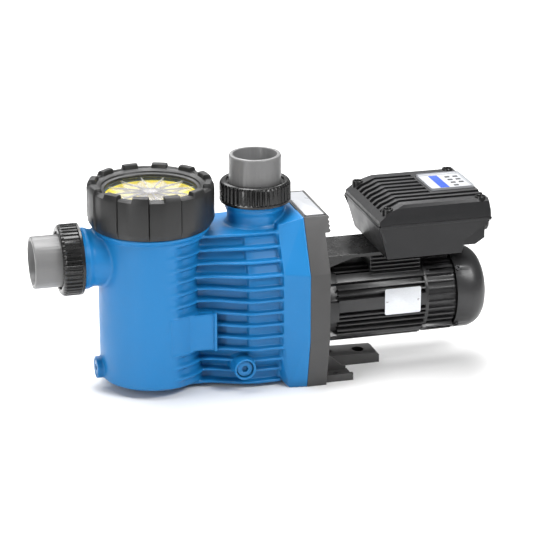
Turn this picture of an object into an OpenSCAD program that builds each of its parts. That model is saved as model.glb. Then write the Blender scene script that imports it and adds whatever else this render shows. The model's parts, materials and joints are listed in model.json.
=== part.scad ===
// Self-priming pool pump: strainer pot and wet end, motor bracket, fan-cooled motor
// and a speed control box. X runs along the shaft towards the fan, Z is up.
// Every X station is measured from the line through the two foot bolts.

/* [Layout] */
// Height of the shaft above the floor
shaft_z = 102; // [102:0.5:104]
// Discharge axis, behind the foot bolt line
discharge_x = -105; // [-107:0.5:-104]
// Strainer axis to discharge axis
strainer_gap = 153; // [151:0.5:155]
// Height of the suction axis
suction_z = 198; // [196:0.5:200]

/* [Pipe unions] */
// Outside diameter of the socket pipes
tail_d = 75; // [75:0.5:77]
// Bore of the glue sockets
socket_d = 63.2; // [62.8:0.1:63.4]
// Depth of the glue sockets
socket_depth = 38; // [34:1:38]
// Outside diameter of the union nuts
union_nut_d = 103; // [102:0.5:105]
// Length of the union nuts
union_nut_len = 31; // [31:0.5:33]

/* [Strainer] */
// Outside diameter of the strainer pot
pot_d = 155; // [154:0.5:157]
// Wall of the strainer pot
pot_wall = 7; // [6:0.5:8]
// Top of the pot, where the lid seal sits
pot_top = 283.7; // [283:0.1:284]
// Outside diameter of the lid ring
ring_d = 181; // [179:1:184]
// Number of grip tabs on the lid ring
ring_tabs = 12; // [8:1:14]
// Number of slots round the strainer basket
basket_slots = 12; // [8:2:16]

/* [Body and flange] */
// Front face of the housing flange
flange_front = -86; // [-88:0.5:-84]
// Joint between the housing and the motor bracket
flange_joint = -50; // [-51:0.5:-49]
// Back face of the motor bracket
flange_back = -21; // [-21:0.5:-20]
// Height of the flange
flange_top = 251; // [250:0.5:253]
// Number of ribs across the body
rib_count = 13; // [11:1:14]
// Thickness of a rib
rib_t = 5; // [4:0.5:6]
// Depth of the ribs
rib_depth = 9; // [7:0.5:10]

/* [Feet] */
// Distance between the two foot bolts
foot_spacing = 120; // [116:1:124]
// Diameter of the foot bolt holes
foot_hole_d = 10; // [9:0.5:11]
// End of the rear tongue under the motor
tongue_end = 80; // [76:1:84]

/* [Motor] */
// Start of the finned housing
motor_start = 4; // [3:0.5:5]
// End of the finned housing
motor_end = 137; // [135:1:138]
// Radius over the fin tips
fin_r = 63.4; // [62:0.2:64]
// End of the fan cover
cover_end = 238; // [236:1:240]
// Shaft diameter
shaft_d = 20; // [20:0.5:21]

/* [Control box] */
// Underside of the box
box_bottom = 182; // [181:0.5:183]
// Height of the joint between base and lid
box_joint = 231; // [230:0.5:232]
// Top of the lid ridges
box_top = 261.5; // [261:0.5:263]
// Half width of the box at the joint
box_half_w = 82; // [81:0.5:84]
// Travel of a key
key_travel = 0.6; // [0.4:0.1:0.8]

/* [Hidden] */
$fn = 64;
eps = 0.5;          // overlap of joined shapes
gap = 0.3;          // free space between curved faces that move
run = 0.05;         // radial clearance of the running fits

blue = "#2f82cc";
pvc_grey = "#8f8f8f";
ring_grey = "#474747";
black = "#1c1c1c";
bracket_grey = "#5a5958";
motor_black = "#3a3a3a";
steel = "#c4c6c8";
white = "#e6e8ea";

strainer_x = discharge_x - strainer_gap;
pot_r = pot_d / 2;
bore_r = pot_r - pot_wall;
pot_bottom = 13;
collar_r = 80;              // threaded collar under the lid ring
ring_bottom = 243;
ring_shoulder = 301;        // ring top between the tabs
ring_top = 306;
window_r = 65;
cover_low = pot_top + gap;
cover_t = 7;

// Pipe unions, measured from the spigot face outwards
spigot_r = 46;
water_r = 29;
tail_flange_t = 5;
nut_lip = 4;
suction_face = -383.8;
discharge_face = 285.2;
tail_len = 47;

// Wet end stations along the shaft
chamber_r = 66;
chamber_start = -142;
impeller_r = 50;
impeller_x = -104;
bore_axis_r = shaft_d / 2;

// Motor stations
stator_r = 52;
gap_r = 32;
core_x0 = 25;
core_x1 = 115;
bearing_r = 23.5;
bearing_w = 14;
front_bearing_x = -9;
rear_bearing_x = 148;
cover_start = 187;
lug_r = 60.5;                // circle of the end shield screws
lug_turn = 45;

// Half widths of the bracket and housing flanges, from the floor up
flange_side = [[84, 0], [100, 76], [100, 176], [62, flange_top]];
front_side = [[60, 9], [77, 46], [85, 102], [85, 176], [50, 239]];

// Half width of the rib edges where the body is narrow and where it meets the flange
function waist(z) = lookup(z, [[9, 46], [28, 45], [66, 57], [157, 57], [175, 60],
    [212, 51], [229, 46], [235, 44]]);
function shoulder(z) = lookup(z, [[9, 69], [28, 70], [46, 78], [66, 83], [157, 85],
    [175, 82], [212, 62], [229, 54], [235, 50]]);
waist_x = -200;
shoulder_x = -122;
body_start = strainer_x;
function ease(t) = let (u = max(0, min(1, t))) u * u * (3 - 2 * u);
function edge_y(x, z) = waist(z)
    + (shoulder(z) - waist(z)) * ease((x - waist_x) / (shoulder_x - waist_x));
rib_z0 = 9;
rib_pitch = (229 - rib_z0) / (rib_count - 1);
step_x = -135;              // the wall between the ribs steps outwards here

function both_sides(pts) = concat(pts,
    [for (i = [len(pts) - 1 : -1 : 0]) [-pts[i][0], pts[i][1]]]);

module tube(r_out, r_in, h) {
    difference() {
        cylinder(r = r_out, h = h);
        translate([0, 0, -1]) cylinder(r = r_in, h = h + 2);
    }
}

module along_x(x, z = shaft_z) {
    translate([x, 0, z]) rotate([0, 90, 0]) children();
}

// A flat outline in Y and Z, drawn from x0 to x1
module yz_prism(x0, x1) {
    translate([x0, 0, 0]) rotate([90, 0, 90]) linear_extrude(x1 - x0) children();
}

// A flat outline in X and Z, drawn from y0 to y1
module xz_prism(y0, y1) {
    translate([0, y1, 0]) rotate([90, 0, 0]) linear_extrude(y1 - y0) children();
}

module box(low, high) {
    translate(low) cube(high - low);
}

module ring_of(count, r = 0, start = 0) {
    for (i = [0 : count - 1]) rotate(start + 360 * i / count) translate([r, 0, 0]) children();
}

module o_ring(r, wire) {
    rotate_extrude() translate([r, 0]) circle(r = wire, $fn = 24);
}

module hex_hole(flats, h) {
    cylinder(r = flats / sqrt(3), h = h, $fn = 6);
}

module cap_screw(r, length, head_r, head_h) {
    difference() {
        union() {
            translate([0, 0, -length]) cylinder(r = r, h = length);
            cylinder(r = head_r, h = head_h);
        }
        translate([0, 0, 0.4 * head_h]) hex_hole(head_r, head_h);
    }
}

// Places a child whose +Z points out of each union
module at_suction(out = 0) {
    translate([suction_face - out, 0, suction_z]) rotate([0, -90, 0]) children();
}

module at_discharge(out = 0) {
    translate([discharge_x, 0, discharge_face + out]) children();
}

module at_strainer(z = 0) {
    translate([strainer_x, 0, z]) children();
}

// ---- Wet end -------------------------------------------------------------

module body_outline(z, depth) {
    n = 14;
    x1 = flange_front + eps;
    function at(i) = body_start + (x1 - body_start) * i / n;
    function inset(x) = depth > 0 && x > step_x ? depth - 4 : depth;
    side = [for (i = [0 : n]) [at(i), -(edge_y(at(i), z) - inset(at(i)))]];
    polygon(concat(side, [for (i = [n : -1 : 0]) [side[i][0], -side[i][1]]]));
}

module body_ribs() {
    for (i = [0 : rib_count - 1]) {
        z = rib_z0 + i * rib_pitch;
        translate([0, 0, z - rib_t / 2]) linear_extrude(rib_t) body_outline(z, 0);
        if (i < rib_count - 1)
            translate([0, 0, z]) linear_extrude(rib_pitch)
                body_outline(z + rib_pitch / 2, rib_depth);
    }
}

module pot_shell() {
    foot_round = 6;
    at_strainer() rotate_extrude($fn = 96) {
        polygon([[0, pot_bottom], [pot_r - foot_round, pot_bottom],
            [pot_r - foot_round / 3, pot_bottom + foot_round / 3],
            [pot_r, pot_bottom + foot_round], [pot_r, 232], [84, 238], [84, 242],
            [collar_r, 242], [collar_r, pot_top], [0, pot_top]]);
    }
}

module housing_flange() {
    hull() {
        yz_prism(flange_front, flange_front + 1) polygon(both_sides(front_side));
        yz_prism(flange_joint - 2, flange_joint) polygon(both_sides(flange_side));
        box([flange_joint - 26, -80, 0], [flange_joint, 80, 2]);
    }
}

module union_spigot(neck) {
    rotate_extrude()
        polygon([[0, -neck], [41, -neck], [41, -36], [44, -30], [44, -25],
            [spigot_r, -23], [spigot_r, 0], [0, 0]]);
}

module union_bore(depth) {
    translate([0, 0, -depth]) cylinder(r = water_r, h = depth + 1);
    translate([0, 0, -3.2]) tube(38, 33, 4);
}

drain_front = [-143, -87, 38];
drain_side = [-344, 0, 30];

module at_drain_front(out = 0) {
    translate(drain_front - [0, out, 0]) rotate([90, 0, 0]) children();
}

module at_drain_side(out = 0) {
    translate(drain_side - [out, 0, 0]) rotate([0, -90, 0]) children();
}

// Depth of the cup that each plug head sits in, and length of its thread
front_cup = 12;
front_thread = 12;
side_cup = 8.5;
side_thread = 6.5;
drain_thread_r = 8;
drain_head_r = 11;
module drain_boss(length) {
    translate([0, 0, -length]) cylinder(r = 16, h = length);
}

module drain_bore(cup, length) {
    translate([0, 0, -cup]) cylinder(r = drain_head_r + 1.5, h = cup + 1);
    translate([0, 0, -length]) cylinder(r = drain_thread_r + gap, h = length + 1);
}

module badge_panel() {
    box([-240, -67, 66], [-181, -40, 120]);
    box([-184, -70, 64], [-180, -40, 122]);
}

// The wet end is one moulding; it is split on flat planes into casing, pot and neck
module wet_end() {
    screw_r = 90;
    difference() {
        union() {
            pot_shell();
            body_ribs();
            housing_flange();
            badge_panel();
            at_discharge() union_spigot(55);
            translate([discharge_x, 0, 190]) cylinder(r = 44, h = 45);
            at_suction() union_spigot(70);
            at_drain_front() drain_boss(45);
            at_drain_side() drain_boss(20);
        }
        at_strainer(pot_bottom + pot_wall) cylinder(r = bore_r, h = 300, $fn = 96);
        at_strainer(pot_top - 4) tube(77.2, 71.8, 6);
        at_suction() union_bore(70);
        at_discharge() union_bore(120);
        along_x(strainer_x) cylinder(r = 27, h = strainer_gap - 20);
        along_x(chamber_start) cylinder(r = chamber_r, h = flange_joint - chamber_start + 1);
        along_x(flange_joint - 3) tube(77, 71, 4);
        along_x(flange_joint - 22) ring_of(8, screw_r, 22.5) cylinder(r = 3, h = 24);
        at_drain_front() drain_bore(front_cup, 60);
        at_drain_side() drain_bore(side_cup, 30);
    }
}

neck_split_x = -343;
pot_split_x = -180;
pot_top_split_x = -160;
pot_top_split_z = 232;
module neck_space() {
    box([-400, -60, 100], [neck_split_x, 60, 290]);
    box([-400, -46, 152], [-321, 46, 236]);
}

module pot_space() {
    difference() {
        union() {
            box([-400, -120, -1], [pot_split_x, 120, pot_top_split_z]);
            box([-400, -120, pot_top_split_z - 1], [pot_top_split_x, 120, 320]);
        }
        neck_space();
    }
}

module pump_housing() {
    color(blue) difference() {
        wet_end();
        pot_space();
        neck_space();
    }
}

module strainer_pot() {
    color(blue) intersection() {
        wet_end();
        pot_space();
    }
}

module suction_neck() {
    color(blue) intersection() {
        wet_end();
        neck_space();
    }
}

// The tail is cut for a glued pipe; its shoulder is held by the nut
module union_tail() {
    difference() {
        union() {
            cylinder(r = tail_d / 2, h = tail_len - 2);
            cylinder(r = 44, h = tail_flange_t);
            translate([0, 0, tail_len - 2]) cylinder(r1 = tail_d / 2, r2 = tail_d / 2 - 1, h = 2);
        }
        translate([0, 0, -1]) cylinder(r = water_r, h = tail_len + 2);
        translate([0, 0, tail_len - socket_depth]) cylinder(r = socket_d / 2, h = socket_depth + 1);
    }
}

module suction_tail() {
    color(pvc_grey) at_suction(gap) union_tail();
}

module discharge_tail() {
    color(pvc_grey) at_discharge(gap) union_tail();
}

module union_nut() {
    r = union_nut_d / 2;
    lip_z = gap + tail_flange_t + gap;
    top = lip_z + nut_lip;
    low = top - union_nut_len;
    grips = 36;
    difference() {
        union() {
            translate([0, 0, low]) cylinder(r = r - 1.6, h = union_nut_len - 3);
            translate([0, 0, low]) cylinder(r = r, h = 4);
            translate([0, 0, top - 3]) cylinder(r1 = r - 1.6, r2 = r - 6, h = 3);
            translate([0, 0, low + 2]) linear_extrude(union_nut_len - 6)
                ring_of(grips, r - 2) square([4, 4.4], center = true);
        }
        translate([0, 0, low - 1]) cylinder(r = spigot_r + gap, h = lip_z - low + 1);
        translate([0, 0, low - 1]) cylinder(r = tail_d / 2 + gap, h = union_nut_len + 2);
    }
}

module suction_nut() {
    color(black) at_suction() union_nut();
}

module discharge_nut() {
    color(black) at_discharge() union_nut();
}

module suction_oring() {
    color(black) at_suction(-1.7) o_ring(35.5, 1.5);
}

module discharge_oring() {
    color(black) at_discharge(-1.7) o_ring(35.5, 1.5);
}

// ---- Lid and basket ------------------------------------------------------

module lid_cover() {
    color([0.85, 0.9, 0.92, 0.4]) at_strainer(cover_low) {
        difference() {
            cylinder(r = 79, h = cover_t, $fn = 96);
            translate([0, 0, 3.5]) tube(window_r - 3, 14, cover_t);
        }
        translate([0, 0, 3]) linear_extrude(cover_t - 3) ring_of(12, 38) square([54, 2.4], center = true);
    }
}

module lid_seal() {
    wire = 2.1;
    color(black) at_strainer(cover_low - wire) o_ring(74.5, wire);
}

module lid_ring() {
    r = ring_d / 2;
    tab_angle = 180 / ring_tabs;
    lip_low = cover_low + cover_t + gap;
    color(ring_grey) at_strainer() difference() {
        union() {
            rotate_extrude($fn = 96) polygon([[76, ring_bottom], [r - 6, ring_bottom],
                [r - 1, ring_bottom + 3], [r - 1, ring_shoulder - 6], [r - 8, ring_shoulder],
                [window_r, ring_shoulder - 1], [window_r, ring_bottom + 10]]);
            for (i = [0 : ring_tabs - 1]) rotate(360 * (i + 0.5) / ring_tabs - tab_angle / 2)
                rotate_extrude(angle = tab_angle, $fn = 96) polygon([[window_r + 1, ring_shoulder - 3],
                    [window_r + 4, ring_top], [r - 7, ring_top], [r, ring_top - 7],
                    [r, ring_bottom + 3], [r - 4, ring_bottom + 1], [r - 8, ring_bottom + 1]]);
        }
        translate([0, 0, ring_bottom - 1])
            cylinder(r = collar_r + gap, h = lip_low - ring_bottom + 1, $fn = 96);
        translate([0, 0, ring_bottom]) cylinder(r = window_r, h = 80, $fn = 96);
    }
}

basket_low = pot_bottom + pot_wall + 2;
basket_top = 276;
basket_r = 65;
module strainer_basket() {
    slot_w = 9;
    slot_low = basket_low + 8;
    slot_h = basket_top - slot_low - 20;
    color("#e8c81e") at_strainer() difference() {
        union() {
            translate([0, 0, basket_low]) cylinder(r = basket_r, h = basket_top - basket_low, $fn = 96);
            translate([0, 0, basket_top - 5]) cylinder(r = bore_r - 1, h = 5, $fn = 96);
        }
        translate([0, 0, basket_low + 3]) cylinder(r = basket_r - 2.5, h = 300, $fn = 96);
        translate([-basket_r - 5, 0, suction_z]) rotate([0, 90, 0]) cylinder(r = 33, h = 20);
        translate([0, 0, slot_low]) ring_of(basket_slots, 0, 180 / basket_slots)
            translate([basket_r - 10, -slot_w / 2, 0]) cube([20, slot_w, slot_h]);
    }
}

// ---- Drain plugs ---------------------------------------------------------

module drain_plug(cup, thread) {
    head_h = 6;
    difference() {
        union() {
            translate([0, 0, 2 - cup]) cylinder(r = drain_head_r, h = head_h);
            translate([0, 0, -cup - thread]) cylinder(r = drain_thread_r, h = thread + 3);
        }
        translate([0, 0, 3.5 - cup]) hex_hole(9, 20);
    }
}

module drain_seal(cup) {
    translate([0, 0, 0.1 - cup]) tube(drain_head_r - 0.5, drain_thread_r + gap, 1.8);
}

module drain_plug_front() {
    color(blue) at_drain_front() drain_plug(front_cup, front_thread);
}

module drain_seal_front() {
    color(black) at_drain_front() drain_seal(front_cup);
}

module drain_plug_side() {
    color(blue) at_drain_side() drain_plug(side_cup, side_thread);
}

module drain_seal_side() {
    color(black) at_drain_side() drain_seal(side_cup);
}

// ---- Bracket between pump and motor --------------------------------------

tooth_count = 4;
top_edge_back = -12.5;
foot_inner = 44;
foot_outer = 77;
foot_front = 22;
module bracket_top() {
    tooth = 22 / tooth_count;
    intersection() {
        yz_prism(flange_joint, 0) polygon(both_sides(flange_side));
        xz_prism(-110, 110) polygon(concat([[flange_joint, flange_top], [flange_joint, 229]],
            [for (i = [0 : tooth_count - 1]) each [[top_edge_back - 2.5, 229 + i * tooth],
                [top_edge_back, 229 + (i + 0.6) * tooth]]],
            [[top_edge_back - 1, flange_top]]));
    }
}

module side_foot() {
    rim = 5;
    back = flange_back - 4;
    box([back, foot_inner, 0], [foot_front, foot_outer, 6]);
    box([back, foot_inner, 0], [foot_front - 3, foot_inner + rim, 12]);
    box([back, foot_outer - rim, 0], [foot_front, foot_outer, 11]);
    xz_prism(foot_inner, foot_inner + rim)
        polygon([[back, 0], [foot_front - 5, 10], [back, 46]]);
}

module rear_tongue() {
    half = 21;
    xz_prism(-half, half) polygon([[flange_back - 4, 0], [tongue_end, 0], [tongue_end, 12],
        [tongue_end - 4, 15], [flange_back - 4, 18]]);
    xz_prism(-3, 3) polygon([[flange_back - 4, 10], [30, 10], [flange_back - 4, 34]]);
}

module motor_bracket() {
    seal_r = 22;
    color(bracket_grey) difference() {
        union() {
            yz_prism(flange_joint, flange_back) polygon(both_sides(flange_side));
            bracket_top();
            side_foot();
            mirror([0, 1, 0]) side_foot();
            rear_tongue();
            along_x(flange_joint - 6) cylinder(r = chamber_r - 0.2, h = 7);
        }
        along_x(flange_joint + 8) cylinder(r = 55, h = 60);
        along_x(flange_joint - 10) cylinder(r = 13, h = 30);
        along_x(flange_joint - 7) cylinder(r = seal_r, h = 9);
        along_x(flange_joint - 1) ring_of(8, 90, 22.5) cylinder(r = 4.2, h = 40);
        along_x(flange_joint + 18) ring_of(8, 90, 22.5) cylinder(r = 8, h = 40);
        for (side = [-1, 1]) translate([0, side * foot_spacing / 2, -1])
            cylinder(r = foot_hole_d / 2, h = 20);
        translate([53, 0, -1]) cylinder(r = foot_hole_d / 2, h = 30);
        translate([53, 0, 8]) cylinder(r = 9, h = 30);
    }
}

module casing_seal() {
    color(black) along_x(flange_joint - 1.5) o_ring(74, 1.45);
}

module casing_screws() {
    color(steel) along_x(flange_joint + 18) ring_of(8, 90, 22.5) cap_screw(2.95, 36, 6.5, 7);
}

// ---- Impeller and shaft seal ---------------------------------------------

module diffuser() {
    vanes = 9;
    r = chamber_r - 3;
    color("#2b2b2b") along_x(chamber_start) difference() {
        union() {
            translate([0, 0, -24]) cylinder(r = 26.6, h = 40);
            cylinder(r = 40, h = 6);
            translate([0, 0, 14]) cylinder(r = impeller_r + 4, h = 52);
            translate([0, 0, 44]) linear_extrude(22) ring_of(vanes, impeller_r + 7) rotate(35)
                square([12, 3], center = true);
            translate([0, 0, 66]) cylinder(r = r, h = 6);
        }
        translate([0, 0, -30]) cylinder(r = 22, h = 70);
        translate([0, 0, 16]) cylinder(r = 25, h = 10);
        translate([0, 0, 24]) cylinder(r = impeller_r + 1, h = 80);
        translate([0, 0, 50]) tube(r - 2, impeller_r, 16);
    }
}

module impeller() {
    vanes = 7;
    thick = 22;
    color("#1f1f1f") along_x(impeller_x) difference() {
        union() {
            cylinder(r = impeller_r, h = 3);
            translate([0, 0, thick - 4]) cylinder(r = impeller_r, h = 4);
            translate([0, 0, -16]) cylinder(r = 24, h = 18);
            cylinder(r = 15, h = thick);
            translate([0, 0, 2]) linear_extrude(thick - 4)
                ring_of(vanes, 33) rotate(48) square([34, 3], center = true);
        }
        translate([0, 0, -17]) tube(21, 15, 24);
        translate([0, 0, -17]) cylinder(r = 15.5, h = 17);
        translate([0, 0, -20]) cylinder(r = 8, h = 60);
    }
}

module impeller_nut() {
    color(steel) along_x(impeller_x - 10) difference() {
        cylinder(r = 13 / cos(30), h = 10, $fn = 6);
        translate([0, 0, -1]) cylinder(r = 8, h = 12);
    }
}

seal_x = impeller_x + 22;
module seal_head() {
    color(black) along_x(seal_x + 14) tube(18, bore_axis_r, 10);
}

module seal_spring() {
    turns = 5;
    color(steel) along_x(seal_x) for (i = [0 : turns - 1])
        translate([0, 0, 1.4 + i * 2.8]) o_ring(15, 1.2);
}

module seal_seat() {
    color("#b9b4a8") along_x(seal_x + 24 + gap) tube(22, 12.5, flange_joint + 2 - seal_x - 24 - gap);
}

// ---- Motor ---------------------------------------------------------------

module motor_shaft() {
    r = bore_axis_r;
    color(steel) {
        along_x(impeller_x - 12) cylinder(r = 8, h = 34);
        along_x(seal_x) cylinder(r = r, h = 215 - seal_x);
        along_x(flange_joint + 14) cylinder(r = 16, h = 4);
    }
}

module rotor_core() {
    color("#8a8d90") along_x(core_x0) tube(gap_r - gap, bore_axis_r, core_x1 - core_x0);
}

race_r = 16.75;
ball_r = 3.9;
module at_bearings() {
    for (x = [front_bearing_x, rear_bearing_x]) along_x(x) children();
}

module race(r_in, r_out) {
    rotate_extrude() difference() {
        translate([r_in, 0]) square([r_out - r_in, bearing_w]);
        translate([race_r, bearing_w / 2]) circle(r = ball_r + run, $fn = 48);
    }
}

module bearing_inner_rings() {
    color(steel) at_bearings() race(bore_axis_r, race_r - 2.2);
}

module bearing_outer_rings() {
    color(steel) at_bearings() race(race_r + 2.2, bearing_r);
}

module bearing_balls() {
    color("#dcdde0") at_bearings() translate([0, 0, bearing_w / 2]) {
        ring_of(8, race_r) sphere(r = ball_r, $fn = 32);
        translate([0, 0, -1.5]) tube(race_r + 1, race_r - 1, 3);
    }
}

module stator_core() {
    color("#77797c") along_x(core_x0) tube(stator_r, gap_r, core_x1 - core_x0);
}

module stator_windings() {
    color("#a5582a") for (x = [core_x0 - 14, core_x1])
        along_x(x) tube(49, 36, 14);
}

module fin_profile(r_core, angles) {
    circle(r = r_core);
    for (a = angles) rotate(a) translate([r_core - 1, -1.3]) square([fin_r - r_core + 1, 2.6]);
}

// Angles are measured from -Y, towards the top of the motor
side_fins = [-65, -57, -49, -40, -32, -21, -13, -7, 22, 30, 55, 63];
module motor_housing() {
    wall_r = 55.5;
    bottom_fins = [for (a = [-20 : 8 : 20]) a];
    color(motor_black) difference() {
        union() {
            yz_prism(motor_start, motor_end) translate([0, shaft_z]) {
                for (side = [0, 1]) mirror([side, 0]) rotate(180) mirror([0, 1])
                    fin_profile(wall_r, side_fins);
                rotate(-90) fin_profile(wall_r, bottom_fins);
                for (side = [0, 1]) mirror([side, 0]) {
                    translate([-63, -1]) square([20, 18]);
                    for (up = [0, 1]) mirror([0, up]) rotate(-lug_turn) translate([-fin_r, -6.5])
                        square([20, 13]);
                }
            }
            box([58, -38, 140], [134, 38, box_bottom - 6]);
        }
        along_x(motor_start - 1) cylinder(r = stator_r, h = motor_end - motor_start + 2);
        for (x = [motor_start - 1, motor_end - 12]) along_x(x) ring_of(4, lug_r, lug_turn)
            cylinder(r = 2, h = 13);
    }
}

module drive_end_shield() {
    h = motor_start - flange_back;
    color(motor_black) along_x(flange_back) difference() {
        union() {
            cylinder(r = 57, h = h);
            translate([0, 0, -3]) cylinder(r = 54.8, h = 4);
            ring_of(4, lug_r - 1, lug_turn) translate([0, 0, h / 2]) cube([12, 15, h], center = true);
            ring_of(2, 58, 90) translate([0, 0, h / 2]) cube([10, 30, h], center = true);
        }
        translate([0, 0, -4]) cylinder(r = 12, h = h + 8);
        translate([0, 0, front_bearing_x - flange_back]) cylinder(r = bearing_r, h = h);
        translate([0, 0, h - 8]) tube(51, 30, 9);
        translate([0, 0, -4]) tube(50, 30, 10);
        translate([0, 0, -4]) ring_of(4, lug_r, lug_turn) cylinder(r = 2.7, h = h + 8);
    }
}

module fan_end_shield() {
    ribs = 36;
    h = cover_start - motor_end;
    color(motor_black) along_x(motor_end) difference() {
        union() {
            cylinder(r = 61, h = 5);
            linear_extrude(h - 4) {
                circle(r = 54);
                ring_of(ribs, 57) square([7, 2.4], center = true);
                ring_of(4, lug_r - 1, lug_turn) square([10, 13], center = true);
            }
            cylinder(r = 56, h = h + 8);
        }
        translate([0, 0, -1]) cylinder(r = stator_r, h = 10);
        translate([0, 0, -1]) cylinder(r = bearing_r, h = rear_bearing_x + bearing_w - motor_end + 1);
        translate([0, 0, -1]) cylinder(r = 12, h = h + 10);
        translate([0, 0, 30]) tube(52, 28, h);
        translate([0, 0, -1]) ring_of(4, lug_r, lug_turn) cylinder(r = 2.7, h = 12);
        translate([0, 0, 5]) ring_of(4, lug_r, lug_turn) cylinder(r = 4.6, h = 50);
        translate([0, 0, h + 4]) ring_of(4, 0, 45) rotate([0, 90, 0]) cylinder(r = 2, h = 70);
    }
}

module shield_screws() {
    color(steel) {
        along_x(motor_end + 5) ring_of(4, lug_r, lug_turn) cap_screw(1.95, 15, 4, 4);
        along_x(flange_back + 21) ring_of(4, lug_r, lug_turn) cylinder(r = 1.95, h = 14);
    }
}

fan_x = 197;
module cooling_fan() {
    blades = 8;
    color(black) along_x(fan_x) difference() {
        union() {
            cylinder(r = 15, h = 16);
            cylinder(r = 34, h = 2);
            linear_extrude(16) ring_of(blades, 31) square([36, 2], center = true);
        }
        translate([0, 0, -1]) cylinder(r = bore_axis_r, h = 20);
    }
}

module fan_cover() {
    r = 61.5;
    round_r = 28;
    wall = 2;
    h = cover_end - cover_start;
    module shell(r, h, round_r) {
        rotate_extrude($fn = 96) {
            square([r, h - round_r]);
            square([r - round_r, h]);
            intersection() {
                translate([r - round_r, h - round_r]) circle(r = round_r, $fn = 64);
                square([r, h]);
            }
        }
    }
    color(motor_black) along_x(cover_start) difference() {
        shell(r, h, round_r);
        translate([0, 0, -1]) shell(r - wall, h - wall + 1, round_r - wall);
        translate([0, 0, h - 5]) ring_of(24) for (k = [0 : 2])
            translate([14 + 7 * k, -1 - 0.5 * k, 0]) cube([5, 2 + k, 10]);
        translate([0, 0, 4]) ring_of(4, 0, 45) rotate([0, 90, 0]) cylinder(r = 2.2, h = 70);
    }
}

module fan_cover_screws() {
    color(steel) along_x(cover_start + 4) ring_of(4, 61.5, 45) rotate([0, 90, 0])
        cap_screw(1.95, 7, 4, 2.6);
}

module rating_plate() {
    x0 = 73;
    color(white) {
        box([x0, -64.3, 91], [x0 + 55, -63.4, 131]);
        for (x = [x0 + 4, x0 + 51]) translate([x, -64.3, 111]) rotate([90, 0, 0])
            cylinder(r = 1.6, h = 0.8);
    }
}

// ---- Control box ---------------------------------------------------------

wall = 3;
base_x0 = 57;
base_x1 = 224;
base_low_x0 = 71;
base_low_x1 = 184;
lid_x0 = 95;

module box_bracket() {
    color(motor_black) difference() {
        union() {
            box([-11, -42, box_bottom - 6], [150, 42, box_bottom]);
            box([-11, -42, 162], [-5, 42, box_bottom]);
            for (y = [-42, 38]) xz_prism(y, y + 4)
                polygon([[-11, 162], [40, box_bottom - 3], [-11, box_bottom - 3]]);
        }
        translate([96, 0, box_bottom - 10]) cylinder(r = 20, h = 20);
    }
}

module base_shape(inset) {
    low = box_bottom + inset;
    intersection() {
        union() {
            xz_prism(-box_half_w, box_half_w) polygon([[base_low_x0 + inset, low],
                [base_low_x1 - inset, low], [base_low_x1 + 2 - inset, 201 + inset / 2],
                [base_x1 - inset, 228 + inset], [base_x1 - inset, box_joint],
                [base_x0 + inset, box_joint]]);
            xz_prism(inset - 64, 64 - inset) polygon([[base_low_x0 + inset, low],
                [base_low_x1 - inset, low], [base_low_x1 + 6, 188 + inset],
                [base_x1 - 14, 188 + inset], [base_x1 - inset, 197 + inset],
                [base_x1 - inset, box_joint], [base_x0 + inset, box_joint]]);
        }
        yz_prism(0, 300) polygon(both_sides([[78 - inset, box_bottom - 1],
            [box_half_w - inset, box_joint + 1]]));
    }
}

board_z = 206;
glands = [[-32, 208], [0, 208], [32, 208]];
module control_base() {
    color(motor_black) difference() {
        base_shape(0);
        difference() {
            base_shape(wall);
            for (x = [84, 170], y = [-56, 56]) translate([x, y, box_bottom])
                cylinder(r = 4, h = board_z - box_bottom);
            for (p = lid_screw_at) translate([p[0], p[1], 180]) cylinder(r = 6, h = 60);
        }
        box([base_x0 + wall, wall - box_half_w, box_joint - 1],
            [base_x1 - wall, box_half_w - wall, box_joint + 1]);
        translate([96, 0, box_bottom - 1]) cylinder(r = 16, h = 10);
        for (g = glands) translate([base_x1 - 10, g[0], g[1]]) rotate([0, 90, 0]) cylinder(r = 8, h = 20);
        for (p = lid_screw_at) translate([p[0], p[1], box_joint - 20]) cylinder(r = 2, h = 25);
    }
}

lid_screw_at = [[72, -70], [72, 70], [213, -70], [213, 70]];
lid_top = box_top - 2.5;
module lid_profile(top, inset) {
    polygon([[base_x0 + inset, box_joint], [base_x1 + 2 - inset, box_joint],
        [base_x1 + 2 - inset, 245], [base_x1 - 1 - inset, top - inset], [lid_x0 + inset / 2, top - inset],
        [72 + inset, top - 9 - inset], [base_x0 + inset, 240]]);
}

panel_x = [155, 222];
panel_y = [-24, 50];
module lid_shape(top, inset) {
    intersection() {
        xz_prism(-100, 100) lid_profile(top, inset);
        yz_prism(0, 300) polygon(both_sides([[box_half_w - inset, box_joint - 1],
            [box_half_w - inset, 236], [78 - inset, top - 4 - inset], [74 - inset, top + 1 - inset]]));
    }
}

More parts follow.
